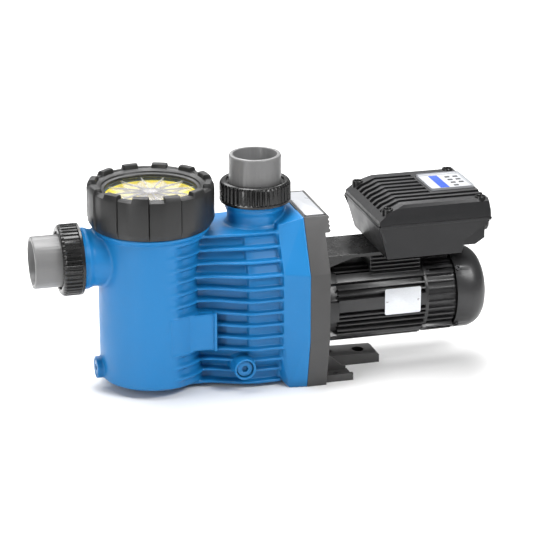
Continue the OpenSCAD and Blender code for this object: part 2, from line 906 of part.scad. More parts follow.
module control_lid() {
    grooves = 8;
    pitch = 16;
    first = -box_half_w + 25;
    color(motor_black) difference() {
        lid_shape(box_top, 0);
        for (i = [0 : grooves - 1]) difference() {
            xz_prism(first + i * pitch - 5, first + i * pitch + 5)
                polygon([[66, 262], [66, 243], [94, lid_top], [300, lid_top], [300, 280]]);
            if (first + i * pitch > panel_y[0] - 8 && first + i * pitch < panel_y[1] + 8)
                box([panel_x[0] - 4, -100, 200], [400, 100, 300]);
        }
        lid_shape(lid_top, wall);
        box([base_x0 + wall, wall - box_half_w, box_joint - 1],
            [base_x1 - 2, box_half_w - wall, box_joint + 2]);
        for (p = lid_screw_at) translate([p[0], p[1], box_joint + 5]) cylinder(r = 6.5, h = 60);
        for (p = lid_screw_at) translate([p[0], p[1], box_joint - 1]) cylinder(r = 2.2, h = 60);
        box([panel_x[0], panel_y[0], box_top - 1], [panel_x[1], panel_y[1], box_top + 5]);
        box([panel_x[0] + 6, panel_y[0] + 6, lid_top - wall - 5],
            [panel_x[1] - 4, panel_y[1] - 2, box_top]);
    }
}

module control_gasket() {
    color("#222222") {
        difference() {
            box([base_x0 + wall + 0.4, -77, box_joint - 1], [base_x1 - wall - 0.4, 77, box_joint + 1.8]);
            box([base_x0 + 7, -73, box_joint - 2], [base_x1 - 7, 73, box_joint + 3]);
        }
    }
}

module control_lid_screws() {
    color(steel) for (p = lid_screw_at) translate([p[0], p[1], box_joint + 5]) cap_screw(1.95, 18, 4, 4);
}

module circuit_board() {
    color("#1f6a3c") {
        box([80, -60, board_z], [198, 60, board_z + 1.6]);
        box([88, -50, board_z + 1.6], [120, -20, board_z + 9]);
        box([150, 10, board_z + 1.6], [186, 46, board_z + 12]);
    }
}

module capacitors() {
    color("#2a2f6b") for (y = [-38, -10, 18, 46] )
        translate([136, y, board_z + 1.6]) cylinder(r = 11, h = 22);
}

keys = [[199.5, 33.5], [199.5, 20], [199.5, 6.5], [199.5, -7], [212, 33.5], [212, 20], [212, 6.5]];
key_size = [7, 4.5];
module display_panel() {
    color(white) difference() {
        box([panel_x[0] + 0.2, panel_y[0] + 0.2, box_top - 1],
            [panel_x[1] - 0.2, panel_y[1] - 0.2, box_top + 0.4]);
        box([173, -14, box_top - 2], [187, 45, box_top + 1]);
        for (k = keys) translate([k[0], k[1], box_top])
            cube([key_size[0] + 0.8, key_size[1] + 0.8, 10], center = true);
    }
}

module display_window() {
    color("#2c4fa8") box([173, -14, box_top - 3], [187, 45, box_top + 0.2]);
}

module key(i) {
    color("#9a9da0") translate([keys[i][0], keys[i][1], box_top - 2 + key_travel])
        linear_extrude(2.6) square(key_size, center = true);
}

module key_1() { key(0); }
module key_2() { key(1); }
module key_3() { key(2); }
module key_4() { key(3); }
module key_5() { key(4); }
module key_6() { key(5); }
module key_7() { key(6); }

module cable_glands() {
    color(black) for (g = glands) translate([base_x1, g[0], g[1]]) rotate([0, 90, 0]) difference() {
        union() {
            cylinder(r = 11 / cos(30), h = 5, $fn = 6);
            translate([0, 0, -8]) cylinder(r = 7.9, h = 20);
        }
        translate([0, 0, -9]) cylinder(r = 5, h = 30);
    }
}

module gland_nuts() {
    color(black) for (g = glands) translate([base_x1 + 5.2, g[0], g[1]]) rotate([0, 90, 0]) difference() {
        union() {
            cylinder(r = 10, h = 8);
            translate([0, 0, 8]) cylinder(r1 = 10, r2 = 7, h = 3);
        }
        translate([0, 0, -1]) cylinder(r = 8, h = 8.5);
        translate([0, 0, -1]) cylinder(r = 5, h = 20);
    }
}

module type_label() {
    color(white) box([flange_joint + 2, -58, flange_top], [top_edge_back - 3, 58, flange_top + 0.6]);
}

pump_housing();
strainer_pot();
suction_neck();
suction_tail();
suction_nut();
suction_oring();
discharge_tail();
discharge_nut();
discharge_oring();
lid_cover();
lid_seal();
lid_ring();
strainer_basket();
drain_plug_front();
drain_seal_front();
drain_plug_side();
drain_seal_side();
motor_bracket();
casing_seal();
casing_screws();
diffuser();
impeller();
impeller_nut();
seal_head();
seal_spring();
seal_seat();
motor_shaft();
rotor_core();
bearing_inner_rings();
bearing_outer_rings();
bearing_balls();
stator_core();
stator_windings();
motor_housing();
drive_end_shield();
fan_end_shield();
shield_screws();
cooling_fan();
fan_cover();
fan_cover_screws();
rating_plate();
box_bracket();
control_base();
control_gasket();
control_lid();
control_lid_screws();
circuit_board();
capacitors();
display_panel();
display_window();
key_1();
key_2();
key_3();
key_4();
key_5();
key_6();
key_7();
cable_glands();
gland_nuts();
type_label();
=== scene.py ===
"""Pool pump: finishes, detailed shells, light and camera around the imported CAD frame.

Every length is in metres in the frame of the CAD model: X along the shaft towards the
fan, Z up, the origin on the floor between the two foot bolts.
"""
import json
from math import cos, pi, radians, sin, sqrt

import bmesh
import bpy
from mathutils import Matrix, Vector


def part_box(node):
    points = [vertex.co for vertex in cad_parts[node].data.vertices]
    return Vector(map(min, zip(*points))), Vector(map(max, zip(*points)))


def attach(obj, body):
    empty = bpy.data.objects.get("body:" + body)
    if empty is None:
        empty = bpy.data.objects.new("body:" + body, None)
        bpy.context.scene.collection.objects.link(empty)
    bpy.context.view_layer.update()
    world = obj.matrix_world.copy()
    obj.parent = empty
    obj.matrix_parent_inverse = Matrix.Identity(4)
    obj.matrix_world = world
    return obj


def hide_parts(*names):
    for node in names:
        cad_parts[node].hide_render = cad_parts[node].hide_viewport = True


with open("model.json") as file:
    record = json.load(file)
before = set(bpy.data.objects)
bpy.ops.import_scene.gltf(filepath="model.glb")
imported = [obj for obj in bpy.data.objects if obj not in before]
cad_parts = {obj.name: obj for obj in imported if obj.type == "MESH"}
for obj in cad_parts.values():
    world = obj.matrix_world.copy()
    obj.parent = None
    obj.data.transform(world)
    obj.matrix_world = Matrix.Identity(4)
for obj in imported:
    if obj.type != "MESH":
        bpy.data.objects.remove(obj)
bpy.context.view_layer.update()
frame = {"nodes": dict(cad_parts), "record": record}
NODES = frame["nodes"]
BODY_OF = {node: body for body, nodes in
           frame["record"]["behaviour"]["bodies"].items() for node in nodes}
SLOT_OF = {row["node"]: row["material_slot"] for row in frame["record"]["subparts"]}

MM = 0.001

# Camera, as seen from in front and a little to the left and above
AZIMUTH = radians(-15.56)
ELEVATION = radians(19.8)
DISTANCE = 3.128
LENS_MM = 143.3
LOOK_AT = Vector((-0.0827, 0.0, 0.1538))

# Studio light: position, size, watts and target of each lamp
WORLD_STRENGTH = 0.26
LAMPS = {
    "key": ((0.8, -1.2, 1.5), (0.6, 0.6), 26, (0, 0, 0.15)),
    "left_strip": ((-1.7, -1.2, 0.8), (0.25, 1.4), 13, (-0.2, 0, 0.15)),
    "top": ((-0.3, 0.25, 1.8), (1.8, 0.7), 44, (-0.1, 0, 0.15)),
    "floor_wash": ((-0.6, 2.4, 2.2), (4.0, 2.0), 150, (-0.6, 2.6, 0)),
}


def direction(azimuth, elevation):
    return Vector((sin(azimuth) * cos(elevation), -cos(azimuth) * cos(elevation), sin(elevation)))


def make_camera():
    data = bpy.data.cameras.new("camera")
    data.lens = LENS_MM
    data.clip_end = 50
    camera = bpy.data.objects.new("camera", data)
    bpy.context.scene.collection.objects.link(camera)
    back = direction(AZIMUTH, ELEVATION)
    camera.location = LOOK_AT + back * DISTANCE
    camera.rotation_mode = "QUATERNION"
    camera.rotation_quaternion = (-back).to_track_quat("-Z", "Y")
    bpy.context.scene.camera = camera


def area_light(name, position, size, watts, target):
    data = bpy.data.lights.new(name, "AREA")
    data.shape = "RECTANGLE"
    data.size, data.size_y = size
    data.energy = watts
    light = bpy.data.objects.new(name, data)
    bpy.context.scene.collection.objects.link(light)
    light.location = position
    aim = Vector(target) - Vector(position)
    light.rotation_mode = "QUATERNION"
    light.rotation_quaternion = aim.to_track_quat("-Z", "Y")


def make_light():
    world = bpy.data.worlds.new("studio")
    bpy.context.scene.world = world
    world.use_nodes = True
    background = world.node_tree.nodes["Background"]
    background.inputs["Color"].default_value = (1, 1, 1, 1)
    background.inputs["Strength"].default_value = WORLD_STRENGTH
    for name, (position, size, watts, target) in LAMPS.items():
        area_light(name, position, size, watts, target)
    bpy.context.scene.view_settings.view_transform = "Standard"


def make_floor():
    mesh = bpy.data.meshes.new("floor")
    half = 6
    mesh.from_pydata([(-half, -half, 0), (half, -half, 0), (half, half, 0), (-half, half, 0)],
                     [], [(0, 1, 2, 3)])
    floor = bpy.data.objects.new("floor", mesh)
    bpy.context.scene.collection.objects.link(floor)
    material = bpy.data.materials.new("pale_floor")
    material.use_nodes = True
    shader = material.node_tree.nodes["Principled BSDF"]
    shader.inputs["Base Color"].default_value = (0.9, 0.9, 0.9, 1)
    shader.inputs["Roughness"].default_value = 0.6
    mesh.materials.append(material)


# ---- Materials -------------------------------------------------------------


class Nodes:
    """Short calls for building one material's node tree."""

    def __init__(self, name):
        self.material = bpy.data.materials.new(name)
        self.material.use_nodes = True
        self.tree = self.material.node_tree
        self.shader = self.tree.nodes["Principled BSDF"]
        self.place = self.tree.nodes.new("ShaderNodeTexCoord").outputs["Object"]

    def link(self, out, socket):
        self.tree.links.new(out, socket)

    def noise(self, scale, detail=4.0, stretch=None, distortion=0.0):
        node = self.tree.nodes.new("ShaderNodeTexNoise")
        node.inputs["Scale"].default_value = scale
        node.inputs["Detail"].default_value = detail
        node.inputs["Distortion"].default_value = distortion
        place = self.place
        if stretch:
            mapping = self.tree.nodes.new("ShaderNodeMapping")
            mapping.inputs["Scale"].default_value = stretch
            self.link(place, mapping.inputs["Vector"])
            place = mapping.outputs["Vector"]
        self.link(place, node.inputs["Vector"])
        return node.outputs["Fac"]

    def ramp(self, value, low, high, out_low=0.0, out_high=1.0):
        node = self.tree.nodes.new("ShaderNodeMapRange")
        for name, number in (("From Min", low), ("From Max", high),
                             ("To Min", out_low), ("To Max", out_high)):
            node.inputs[name].default_value = number
        self.link(value, node.inputs["Value"])
        return node.outputs["Result"]

    def mix(self, factor, first, second):
        node = self.tree.nodes.new("ShaderNodeMix")
        node.data_type = "RGBA"
        for socket, value in ((node.inputs[6], first), (node.inputs[7], second)):
            if isinstance(value, tuple):
                socket.default_value = (*value, 1)
            else:
                self.link(value, socket)
        self.link(factor, node.inputs[0])
        return node.outputs[2]

    def maths(self, operation, first, second):
        node = self.tree.nodes.new("ShaderNodeMath")
        node.operation = operation
        for socket, value in zip(node.inputs, (first, second)):
            if isinstance(value, (int, float)):
                socket.default_value = value
            else:
                self.link(value, socket)
        return node.outputs[0]

    def edges(self, radius=0.0009, low=0.01, high=0.12):
        """How much the surface turns within the radius: 1 on an edge, 0 on a face."""
        rounded = self.tree.nodes.new("ShaderNodeBevel")
        rounded.samples = 4
        rounded.inputs["Radius"].default_value = radius
        geometry = self.tree.nodes.new("ShaderNodeNewGeometry")
        dot = self.tree.nodes.new("ShaderNodeVectorMath")
        dot.operation = "DOT_PRODUCT"
        self.link(rounded.outputs["Normal"], dot.inputs[0])
        self.link(geometry.outputs["Normal"], dot.inputs[1])
        turn = self.maths("SUBTRACT", 1.0, dot.outputs["Value"])
        return self.ramp(turn, low, high)

    def openness(self, distance=0.018):
        """1 where the surface lies open, towards 0 deep in a pocket or gap; it drives the painted
        shade in pockets.
        """
        node = self.tree.nodes.new("ShaderNodeAmbientOcclusion")
        node.samples = 6
        node.inputs["Distance"].default_value = distance
        return node.outputs["AO"]

    def bump(self, height, distance, strength=1.0, below=None):
        node = self.tree.nodes.new("ShaderNodeBump")
        node.inputs["Distance"].default_value = distance
        node.inputs["Strength"].default_value = strength
        self.link(height, node.inputs["Height"])
        if below is not None:
            self.link(below, node.inputs["Normal"])
        return node.outputs["Normal"]


def scaled(colour, factor):
    return tuple(min(1.0, channel * factor) for channel in colour)


def moulded(name, colour, roughness=0.4, grain=900, grain_depth=0.00002, variation=0.12,
            edge_rub_and_highlight=0.25, edge_rub_and_highlight_colour=None, specular=0.5, shade=0.62):
    """Moulded plastic or powder coat: fine grain, cloudy tone, scuffed edges with a painted
    highlight, painted shade in gaps.
    """
    nodes = Nodes(name)
    shader = nodes.shader
    cloud = nodes.ramp(nodes.noise(9, 6), 0.3, 0.7)
    tone = nodes.mix(cloud, scaled(colour, 1 - variation), scaled(colour, 1 + variation))
    speck = nodes.ramp(nodes.noise(520, 2), 0.62, 0.78)
    tone = nodes.mix(nodes.maths("MULTIPLY", speck, 0.18), tone, scaled(colour, 1.5))
    # Edges lighter in patches: partly rubbed wear, partly a painted highlight along the edges
    scuff_and_highlight_patches = nodes.ramp(nodes.noise(70, 8, distortion=1.2), 0.42, 0.66)
    worn_and_highlit = nodes.maths("MULTIPLY", nodes.maths("MULTIPLY", nodes.edges(), scuff_and_highlight_patches), edge_rub_and_highlight)
    base = nodes.mix(worn_and_highlit, tone, edge_rub_and_highlight_colour or scaled(colour, 2.2))
    # Painted shade: the colour darkens towards a dim copy of itself in pockets, gaps and under
    # ribs
    painted_pocket_shade = nodes.ramp(nodes.openness(), 0.35, 0.92, shade, 0.0)
    base = nodes.mix(painted_pocket_shade, base, scaled(colour, 0.4))
    nodes.link(base, shader.inputs["Base Color"])
    smear = nodes.noise(38, 7, distortion=0.6)
    nodes.link(nodes.ramp(smear, 0.25, 0.75, roughness - 0.07, roughness + 0.09),
               shader.inputs["Roughness"])
    wave = nodes.bump(nodes.noise(26, 2), 0.0004, 0.25)
    nodes.link(nodes.bump(nodes.noise(grain, 3), grain_depth, 0.8, wave), shader.inputs["Normal"])
    shader.inputs["Specular IOR Level"].default_value = specular
    return nodes.material


def metal(name, colour, roughness=0.3, stretch=(1, 1, 1), grain=260):
    """Turned or drawn metal with fine lines."""
    nodes = Nodes(name)
    shader = nodes.shader
    lines = nodes.noise(grain, 4, stretch)
    tone = nodes.mix(nodes.ramp(lines, 0.3, 0.7), scaled(colour, 0.82), scaled(colour, 1.08))
    nodes.link(tone, shader.inputs["Base Color"])
    nodes.link(nodes.ramp(lines, 0.3, 0.7, roughness - 0.08, roughness + 0.12),
               shader.inputs["Roughness"])
    nodes.link(nodes.bump(lines, 0.00002, 0.6), shader.inputs["Normal"])
    shader.inputs["Metallic"].default_value = 1.0
    return nodes.material


def clear_plastic(name, colour, alpha):
    nodes = Nodes(name)
    shader = nodes.shader
    haze = nodes.ramp(nodes.noise(45, 6), 0.3, 0.75)
    nodes.link(nodes.mix(haze, colour, scaled(colour, 0.9)), shader.inputs["Base Color"])
    nodes.link(nodes.ramp(haze, 0, 1, 0.06, 0.16), shader.inputs["Roughness"])
    nodes.link(nodes.bump(nodes.noise(60, 3), 0.0002, 0.3), shader.inputs["Normal"])
    shader.inputs["Alpha"].default_value = alpha
    return nodes.material


BLUE = (0.007, 0.170, 0.43)
FINISHES = {
    "blue_plastic": lambda: moulded("blue_plastic", BLUE, 0.38, 700, 0.00002, 0.03, 0.35,
                                    (0.07, 0.33, 0.75), specular=0.35),
    "pipe_grey": lambda: moulded("pipe_grey", (0.15, 0.15, 0.15), 0.36, 500, 0.00002, 0.05, 0.3),
    "black_plastic": lambda: moulded("black_plastic", (0.006, 0.006, 0.006), 0.25, 800,
                                     0.00002, 0.2, 0.3),
    "ring_grey": lambda: moulded("ring_grey", (0.014, 0.014, 0.014), 0.40, 620, 0.00012, 0.3,
                                 0.6, (0.09, 0.09, 0.09), specular=0.42),
    "clear_lid": lambda: clear_plastic("clear_lid", (0.80, 0.84, 0.70), 0.07),
    "basket_yellow": lambda: moulded("basket_yellow", (0.82, 0.69, 0.012), 0.35, 600, 0.00002,
                                     0.08, 0.2, shade=0.0),
    "seal_rubber": lambda: moulded("seal_rubber", (0.015, 0.015, 0.016), 0.62, 1100, 0.00003),
    "bracket_grey": lambda: moulded("bracket_grey", (0.050, 0.049, 0.049), 0.5, 850, 0.00005,
                                    0.08, 0.3),
    "impeller_plastic": lambda: moulded("impeller_plastic", (0.02, 0.02, 0.02), 0.4),
    "steel": lambda: metal("steel", (0.56, 0.56, 0.57), 0.28),
    "screw_black": lambda: metal("screw_black", (0.05, 0.05, 0.052), 0.42),
    "seal_ceramic": lambda: moulded("seal_ceramic", (0.58, 0.54, 0.46), 0.25),
    "laminations": lambda: metal("laminations", (0.33, 0.34, 0.36), 0.4, (30, 1, 1)),
    "copper": lambda: metal("copper", (0.62, 0.26, 0.10), 0.3, (1, 8, 8)),
    "motor_black": lambda: moulded("motor_black", (0.022, 0.022, 0.023), 0.36, 650, 0.00006,
                                   0.15, 0.3, (0.13, 0.13, 0.13)),
    "fan_black": lambda: moulded("fan_black", (0.02, 0.02, 0.02), 0.45),
    "box_black": lambda: moulded("box_black", (0.011, 0.011, 0.012), 0.40, 850, 0.00005, 0.1,
                                 0.5, (0.12, 0.12, 0.12), specular=0.32),
    "plate_silver": lambda: metal("plate_silver", (0.72, 0.74, 0.77), 0.42, (1, 1, 40)),
    "label_white": lambda: moulded("label_white", (0.42, 0.43, 0.45), 0.3, 300, 0.00001, 0.04, 0),
    "circuit_green": lambda: moulded("circuit_green", (0.02, 0.17, 0.06), 0.35),
    "capacitor_blue": lambda: moulded("capacitor_blue", (0.03, 0.05, 0.3), 0.3),
    "display_blue": lambda: moulded("display_blue", (0.035, 0.09, 0.5), 0.2, 400, 0.00001),
    "key_grey": lambda: moulded("key_grey", (0.035, 0.036, 0.038), 0.5, 900, 0.00003),
}
MATERIALS = {slot: make() for slot, make in FINISHES.items()}
STAR_HAZE = clear_plastic("star_haze", (0.74, 0.72, 0.76), 0.20)


def dress(obj, slot):
    obj.data.materials.clear()
    obj.data.materials.append(MATERIALS[slot])


# ---- Pieces ----------------------------------------------------------------


def new_object(name, mesh):
    obj = bpy.data.objects.new(name, mesh)
    bpy.context.scene.collection.objects.link(obj)
    return obj


def from_bmesh(name, bm):
    mesh = bpy.data.meshes.new(name)
    bm.to_mesh(mesh)
    bm.free()
    return new_object(name, mesh)


def applied(obj):
    """Bakes the modifiers into the mesh."""
    graph = bpy.context.evaluated_depsgraph_get()
    mesh = bpy.data.meshes.new_from_object(obj.evaluated_get(graph))
    obj.modifiers.clear()
    obj.data = mesh
    return obj


def smoothed(obj, angle=35):
    obj.data.shade_smooth()
    obj.data.set_sharp_from_angle(angle=radians(angle))
    return obj


def take_place(piece, *nodes, slot=None):
    """The piece is shown for these CAD nodes, on their body, in their finish."""
    dress(piece, slot or SLOT_OF[nodes[0]])
    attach(piece, BODY_OF[nodes[0]])
    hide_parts(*nodes)
    return piece


def placed_on(piece, body, slot):
    """A piece that is added to a body and stands for no CAD node."""
    dress(piece, slot)
    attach(piece, body)


def flat_faced(node):
    """The CAD node's mesh with the triangles of each flat face made one face."""
    bm = bmesh.new()
    bm.from_mesh(NODES[node].data)
    bmesh.ops.remove_doubles(bm, verts=bm.verts, dist=1e-6)
    bmesh.ops.dissolve_limit(bm, angle_limit=radians(0.5), verts=bm.verts, edges=bm.edges)
    return bm


# Boxy nodes, whose facets meet at shallow angles that should stay visible
FLAT_ANGLE = {"control_lid": 14, "control_base": 14, "motor_bracket": 14, "box_bracket": 14}


def refined(node, bevel, slot=None):
    """The CAD shape with rounded edges."""
    obj = from_bmesh(node + ".shell", flat_faced(node))
    rounding = obj.modifiers.new("rounding", "BEVEL")
    rounding.width = bevel
    rounding.segments = 2
    rounding.limit_method = "ANGLE"
    rounding.angle_limit = radians(20)
    rounding.harden_normals = True
    applied(obj)
    smoothed(obj, FLAT_ANGLE.get(node, 40))
    return take_place(obj, node, slot=slot)


# ---- Wet end: one blue moulding ---------------------------------------------


HOUSING = ("pump_housing", "strainer_pot", "suction_neck")
# The moulding's plan, as in the CAD model
POT_X = -0.258
POT_R = 0.0775
RIB_LOW, RIB_PITCH, RIB_COUNT = 0.009, 0.22 / 12, 13
WAIST_X, SHOULDER_X, STEP_X = -0.200, -0.122, -0.135
WAIST = ((0.009, 0.046), (0.028, 0.045), (0.066, 0.057), (0.157, 0.057), (0.175, 0.060),
         (0.212, 0.051), (0.229, 0.046), (0.235, 0.044))
SHOULDER = ((0.009, 0.069), (0.028, 0.070), (0.046, 0.078), (0.066, 0.083), (0.157, 0.085),
            (0.175, 0.082), (0.212, 0.062), (0.229, 0.054), (0.235, 0.050))
PANEL_Z = (0.064, 0.122)
PANEL_END = -0.180
PANEL_FRAME_Z = (0.0655, 0.1205)
PANEL_FRAME_X = (-0.249, -0.205)
FRAME_WIDTH, FRAME_RISE = 0.002, 0.0009
FRONT_DRAIN_X, FRONT_DRAIN_Z, FRONT_DRAIN_R = -0.143, 0.038, 0.0175
SUCTION_Z, DISCHARGE_X = 0.198, -0.105


def look_up(value, table):
    """The table's second column at this value of its first, along straight lines."""
    for (low, a), (high, b) in zip(table, table[1:]):
        if value <= high:
            return a + (b - a) * max(0.0, (value - low) / (high - low))
    return table[-1][1]


def ease(value, low, high):
    """0 below low, 1 above high, and a smooth rise between."""
    t = max(0.0, min(1.0, (value - low) / (high - low)))
    return t * t * (3 - 2 * t)


def rib_edge(x, z):
    """Half width of the moulding over the ribs."""
    waist, shoulder = look_up(z, WAIST), look_up(z, SHOULDER)
    return waist + (shoulder - waist) * ease(x, WAIST_X, SHOULDER_X)


def recess_floor(x, z):
    """Half width of the wall between the ribs, from the pot's front to the flange."""
    depth = 0.0125 - 0.0045 * ease(x, STEP_X - 0.001, STEP_X + 0.001)
    floor = rib_edge(x, z) - depth
    scoop = 0.0009 * ease(x, -0.260, -0.238) + 0.0054 * ease(x, -0.244, -0.226)
    across = x - POT_X
    reach = POT_R - scoop
    return max(floor, sqrt(max(0.0, reach * reach - across * across)))


def between_ribs(z):
    """0 on a rib, 1 in the middle of a recess."""
    if not RIB_LOW < z < RIB_LOW + RIB_PITCH * (RIB_COUNT - 1):
        return 0.0
    offset = (z - RIB_LOW) % RIB_PITCH
    return ease(min(offset, RIB_PITCH - offset), 0.0012, 0.0046)


def carve_ribs(mesh):
    """Deepens the recesses between the ribs, clear of the panel and the front drain."""
    for vert in mesh.vertices:
        x, y, z = vert.co
        if not -0.262 < x < -0.089 or abs(y) < 0.02:
            continue
        if y < 0 and PANEL_Z[0] < z < PANEL_Z[1] and x < PANEL_END:
            continue
        drain = sqrt((x - FRONT_DRAIN_X) ** 2 + (z - FRONT_DRAIN_Z) ** 2)
        if y < 0 and drain < FRONT_DRAIN_R:
            continue
        reach = abs(y)
        if reach > rib_edge(x, z) + 0.003 and (x - POT_X) ** 2 + y * y > (POT_R + 0.002) ** 2:
            continue
        floor = recess_floor(x, z)
        outer = max(rib_edge(x, z), sqrt(max(0.0, POT_R ** 2 - (x - POT_X) ** 2)))
        if reach < outer - 0.014:
            continue
        moved = reach - between_ribs(z) * max(0.0, reach - floor)
        vert.co.y = moved if y > 0 else -moved


def raise_panel_frame(mesh):
    """The panel's thin frame runs on across the front of the pot."""
    for vert in mesh.vertices:
        x, y, z = vert.co
        radius = sqrt((x - POT_X) ** 2 + y * y)
        if y > -0.05 or abs(radius - POT_R) > 0.002:
            continue
        line = max(1 - abs(z - place) / FRAME_WIDTH for place in PANEL_FRAME_Z)
        side = 1 - abs(x - PANEL_FRAME_X[0]) / FRAME_WIDTH
        on_line = line > 0 and PANEL_FRAME_X[0] - 0.001 < x < PANEL_FRAME_X[1]
        on_side = side > 0 and PANEL_FRAME_Z[0] < z < PANEL_FRAME_Z[1]
        if on_line or on_side:
            rise = FRAME_RISE * max(line if on_line else 0, side if on_side else 0)
            grow = 1 + rise / radius
            vert.co.x = POT_X + (x - POT_X) * grow
            vert.co.y = y * grow


def add_flares(shell):
    """Wide fillets where the two necks grow out of the pot and the roof."""
    group = shell.vertex_groups.new(name="flares")
    for vert in shell.data.vertices:
        x, y, z = vert.co
        suction = sqrt(y * y + (z - SUCTION_Z) ** 2)
        discharge = sqrt((x - DISCHARGE_X) ** 2 + y * y)
        near_suction = -0.352 < x < -0.306 and 0.036 < suction < 0.058
        near_discharge = 0.222 < z < 0.254 and 0.038 < discharge < 0.060
        if near_suction or near_discharge:
            group.add([vert.index], 1.0, "REPLACE")
    flares = shell.modifiers.new("flares", "SMOOTH")
    flares.vertex_group = "flares"
    flares.factor = 0.5
    flares.iterations = 24


def soften_all(shell, iterations):
    soften = shell.modifiers.new("soften", "SMOOTH")
    soften.factor = 0.5
    soften.iterations = iterations


def housing_shell():
    """The wet end as one skin: joined, remeshed, carved, softened and framed."""
    bm = bmesh.new()
    for node in HOUSING:
        bm.from_mesh(NODES[node].data)
    shell = from_bmesh("wet_end_shell", bm)
    remesh = shell.modifiers.new("remesh", "REMESH")
    remesh.mode = "VOXEL"
    remesh.voxel_size = 0.0012
    applied(shell)
    carve_ribs(shell.data)
    soften_all(shell, 3)
    add_flares(shell)
    applied(shell)
    raise_panel_frame(shell.data)
    shell.data.shade_smooth()
    return take_place(shell, *HOUSING)


# ---- Turned and ribbed rings -------------------------------------------------


def turned(name, columns, profile_at, place):
    """A closed ring: profile_at(turn) gives its (radius, height) points, 0 <= turn < 1."""
    bm = bmesh.new()
    grid = []
    for column in range(columns):
        turn = column / columns
        c, q = cos(2 * pi * turn), sin(2 * pi * turn)
        grid.append([bm.verts.new(place @ Vector((r * c, r * q, h)))
                     for r, h in profile_at(turn)])
    for column in range(columns):
        here, after = grid[column], grid[(column + 1) % columns]
        for k in range(len(here)):
            n = (k + 1) % len(here)
            bm.faces.new((here[k], after[k], after[n], here[n]))
    bmesh.ops.recalc_face_normals(bm, faces=bm.faces)
    return smoothed(from_bmesh(name, bm), 28)


GRIP_RIBS = 44
NUT_TOP = 9.6 * MM


def nut_profile(turn):
    """Section of a union nut, which dips between its grip ribs."""
    phase = (turn * GRIP_RIBS) % 1
    groove = ease(phase, 0.02, 0.18) * (1 - ease(phase, 0.50, 0.66))
    rim = 51.3 - 2.0 * groove
    points = [(46.3, -21.4), (50.0, -21.4), (51.4, -20.4), (51.4, -17.6), (50.6, -16.8),
              (rim, -15.8), (rim, 4.4), (min(rim, 50.6), 5.8), (49.0, 8.2), (47.4, 9.3),
              (46.0, 9.6), (42.8, 9.6), (41.6, 9.0), (41.3, 6.4), (37.8, 6.2), (37.8, 5.7),
              (46.3, 5.7)]
    return [(r * MM, h * MM) for r, h in points]


def union_nut(node, place):
    return take_place(turned(node + ".grips", GRIP_RIBS * 9, nut_profile, place), node)


def union_nuts():
    """The suction nut lies along X and the discharge nut stands upright."""
    low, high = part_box("suction_nut")
    place = Matrix.Translation((low.x + NUT_TOP, 0, (low.z + high.z) / 2))
    union_nut("suction_nut", place @ Matrix.Rotation(radians(-90), 4, "Y"))
    low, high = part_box("discharge_nut")
    union_nut("discharge_nut", Matrix.Translation(((low.x + high.x) / 2, 0, high.z - NUT_TOP)))


RING_TABS = 12


def ring_profile(turn):
    """Raised tabs with a sharp edge on one side, and a shallow notch that fades out."""
    phase = (turn * RING_TABS) % 1
    tab = ease(phase, 0.0, 0.03) * (1 - ease(phase, 0.52, 0.56))
    notch = ease(phase, 0.52, 0.55) * (1 - ease(phase, 0.60, 0.99))
    crack = ease(phase, 0.515, 0.53) * (1 - ease(phase, 0.54, 0.555))
    wall = 90.5 - 1.8 * notch - 1.6 * crack
    top = 301 + 5 * tab
    inner = 77.5 + 1.5 * (1 - tab)
    points = [(80.4, 243), (85.6, 243), (wall - 1.0, 250.0), (wall, 253.0), (wall, 295.0),
              (wall - 0.8, 298.5 + 2.0 * tab), (wall - 3.2, top - 0.8), (wall - 4.6, top),
              (inner + 1.2, top), (inner, top - 1.2), (inner - 1.2, 300.0), (74.6, 299.6),
              (70.6, 297.4), (69.6, 295.4), (66.0, 294.2), (65.2, 293.0), (65.2, 291.4),
              (79.3, 291.4), (79.5, 284.0), (80.4, 283.0)]
    return [(r * MM, h * MM) for r, h in points]


def lid_ring():
    place = Matrix.Translation((POT_X, 0, 0))
    return take_place(turned("lid_ring.grips", RING_TABS * 66, ring_profile, place), "lid_ring")


# ---- Clear cover and basket --------------------------------------------------


def prism(name, outline, low, high, place=Matrix.Identity(4), bevel=0.0004):
    """A plate with the given outline and rounded edges."""
    bm = bmesh.new()
    bottom = [bm.verts.new(place @ Vector((x, y, low))) for x, y in outline]
    top = [bm.verts.new(place @ Vector((x, y, high))) for x, y in outline]
    bm.faces.new(bottom)
    bm.faces.new(top)
    count = len(outline)
    for k in range(count):
        n = (k + 1) % count
        bm.faces.new((bottom[k], bottom[n], top[n], top[k]))
    bmesh.ops.recalc_face_normals(bm, faces=bm.faces)
    obj = from_bmesh(name, bm)
    rounding = obj.modifiers.new("rounding", "BEVEL")
    rounding.width = bevel
    rounding.segments = 2
    rounding.limit_method = "ANGLE"
    applied(obj)
    return smoothed(obj, 40)


def polar(radius, degrees):
    return radius * cos(radians(degrees)), radius * sin(radians(degrees))


def rectangle(x0, y0, x1, y1):
    return (x0, y0), (x1, y0), (x1, y1), (x0, y1)


def joined(name, pieces):
    bm = bmesh.new()
    for piece in pieces:
        bm.from_mesh(piece.data)
        bpy.data.objects.remove(piece)
    return smoothed(from_bmesh(name, bm), 40)


STAR_POINTS = 12


